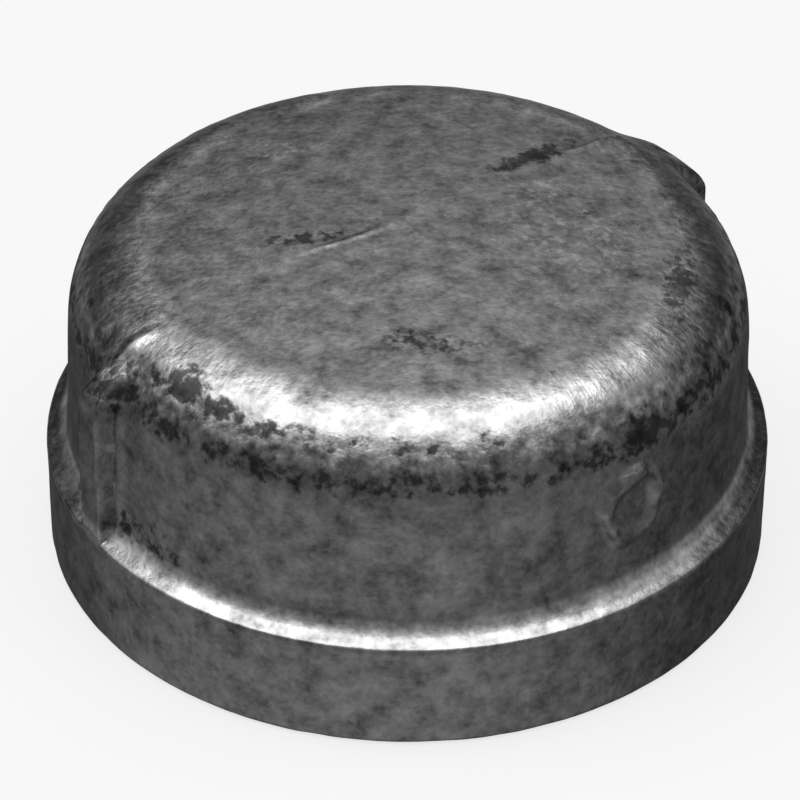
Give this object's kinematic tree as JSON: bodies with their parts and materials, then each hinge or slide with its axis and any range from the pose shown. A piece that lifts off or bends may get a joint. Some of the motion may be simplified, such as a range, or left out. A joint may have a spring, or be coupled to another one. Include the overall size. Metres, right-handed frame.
{
  "type": "pipe cap",
  "caption": "Banded cast-iron pipe cap with a female taper pipe thread, two side ribs, a rounded shoulder and a slightly domed closed end.",
  "frame": {"origin": "centre of the open mouth, on the mouth face, which is the lowest face", "axes": "+Z along the thread axis, from the mouth to the closed end; -Y is the side seen in front, with the narrow rib on the front left (-X) and the raised pad on the front right (+X)"},
  "size_m": [0.0753, 0.0752, 0.0368],
  "materials": {
    "zinc_casting": "as-cast malleable iron with a dull, mottled hot-dip zinc skin; bare machined thread inside"
  },
  "bodies": {
    "root": {"cap_casting": "zinc_casting"}
  },
  "joints": []
}
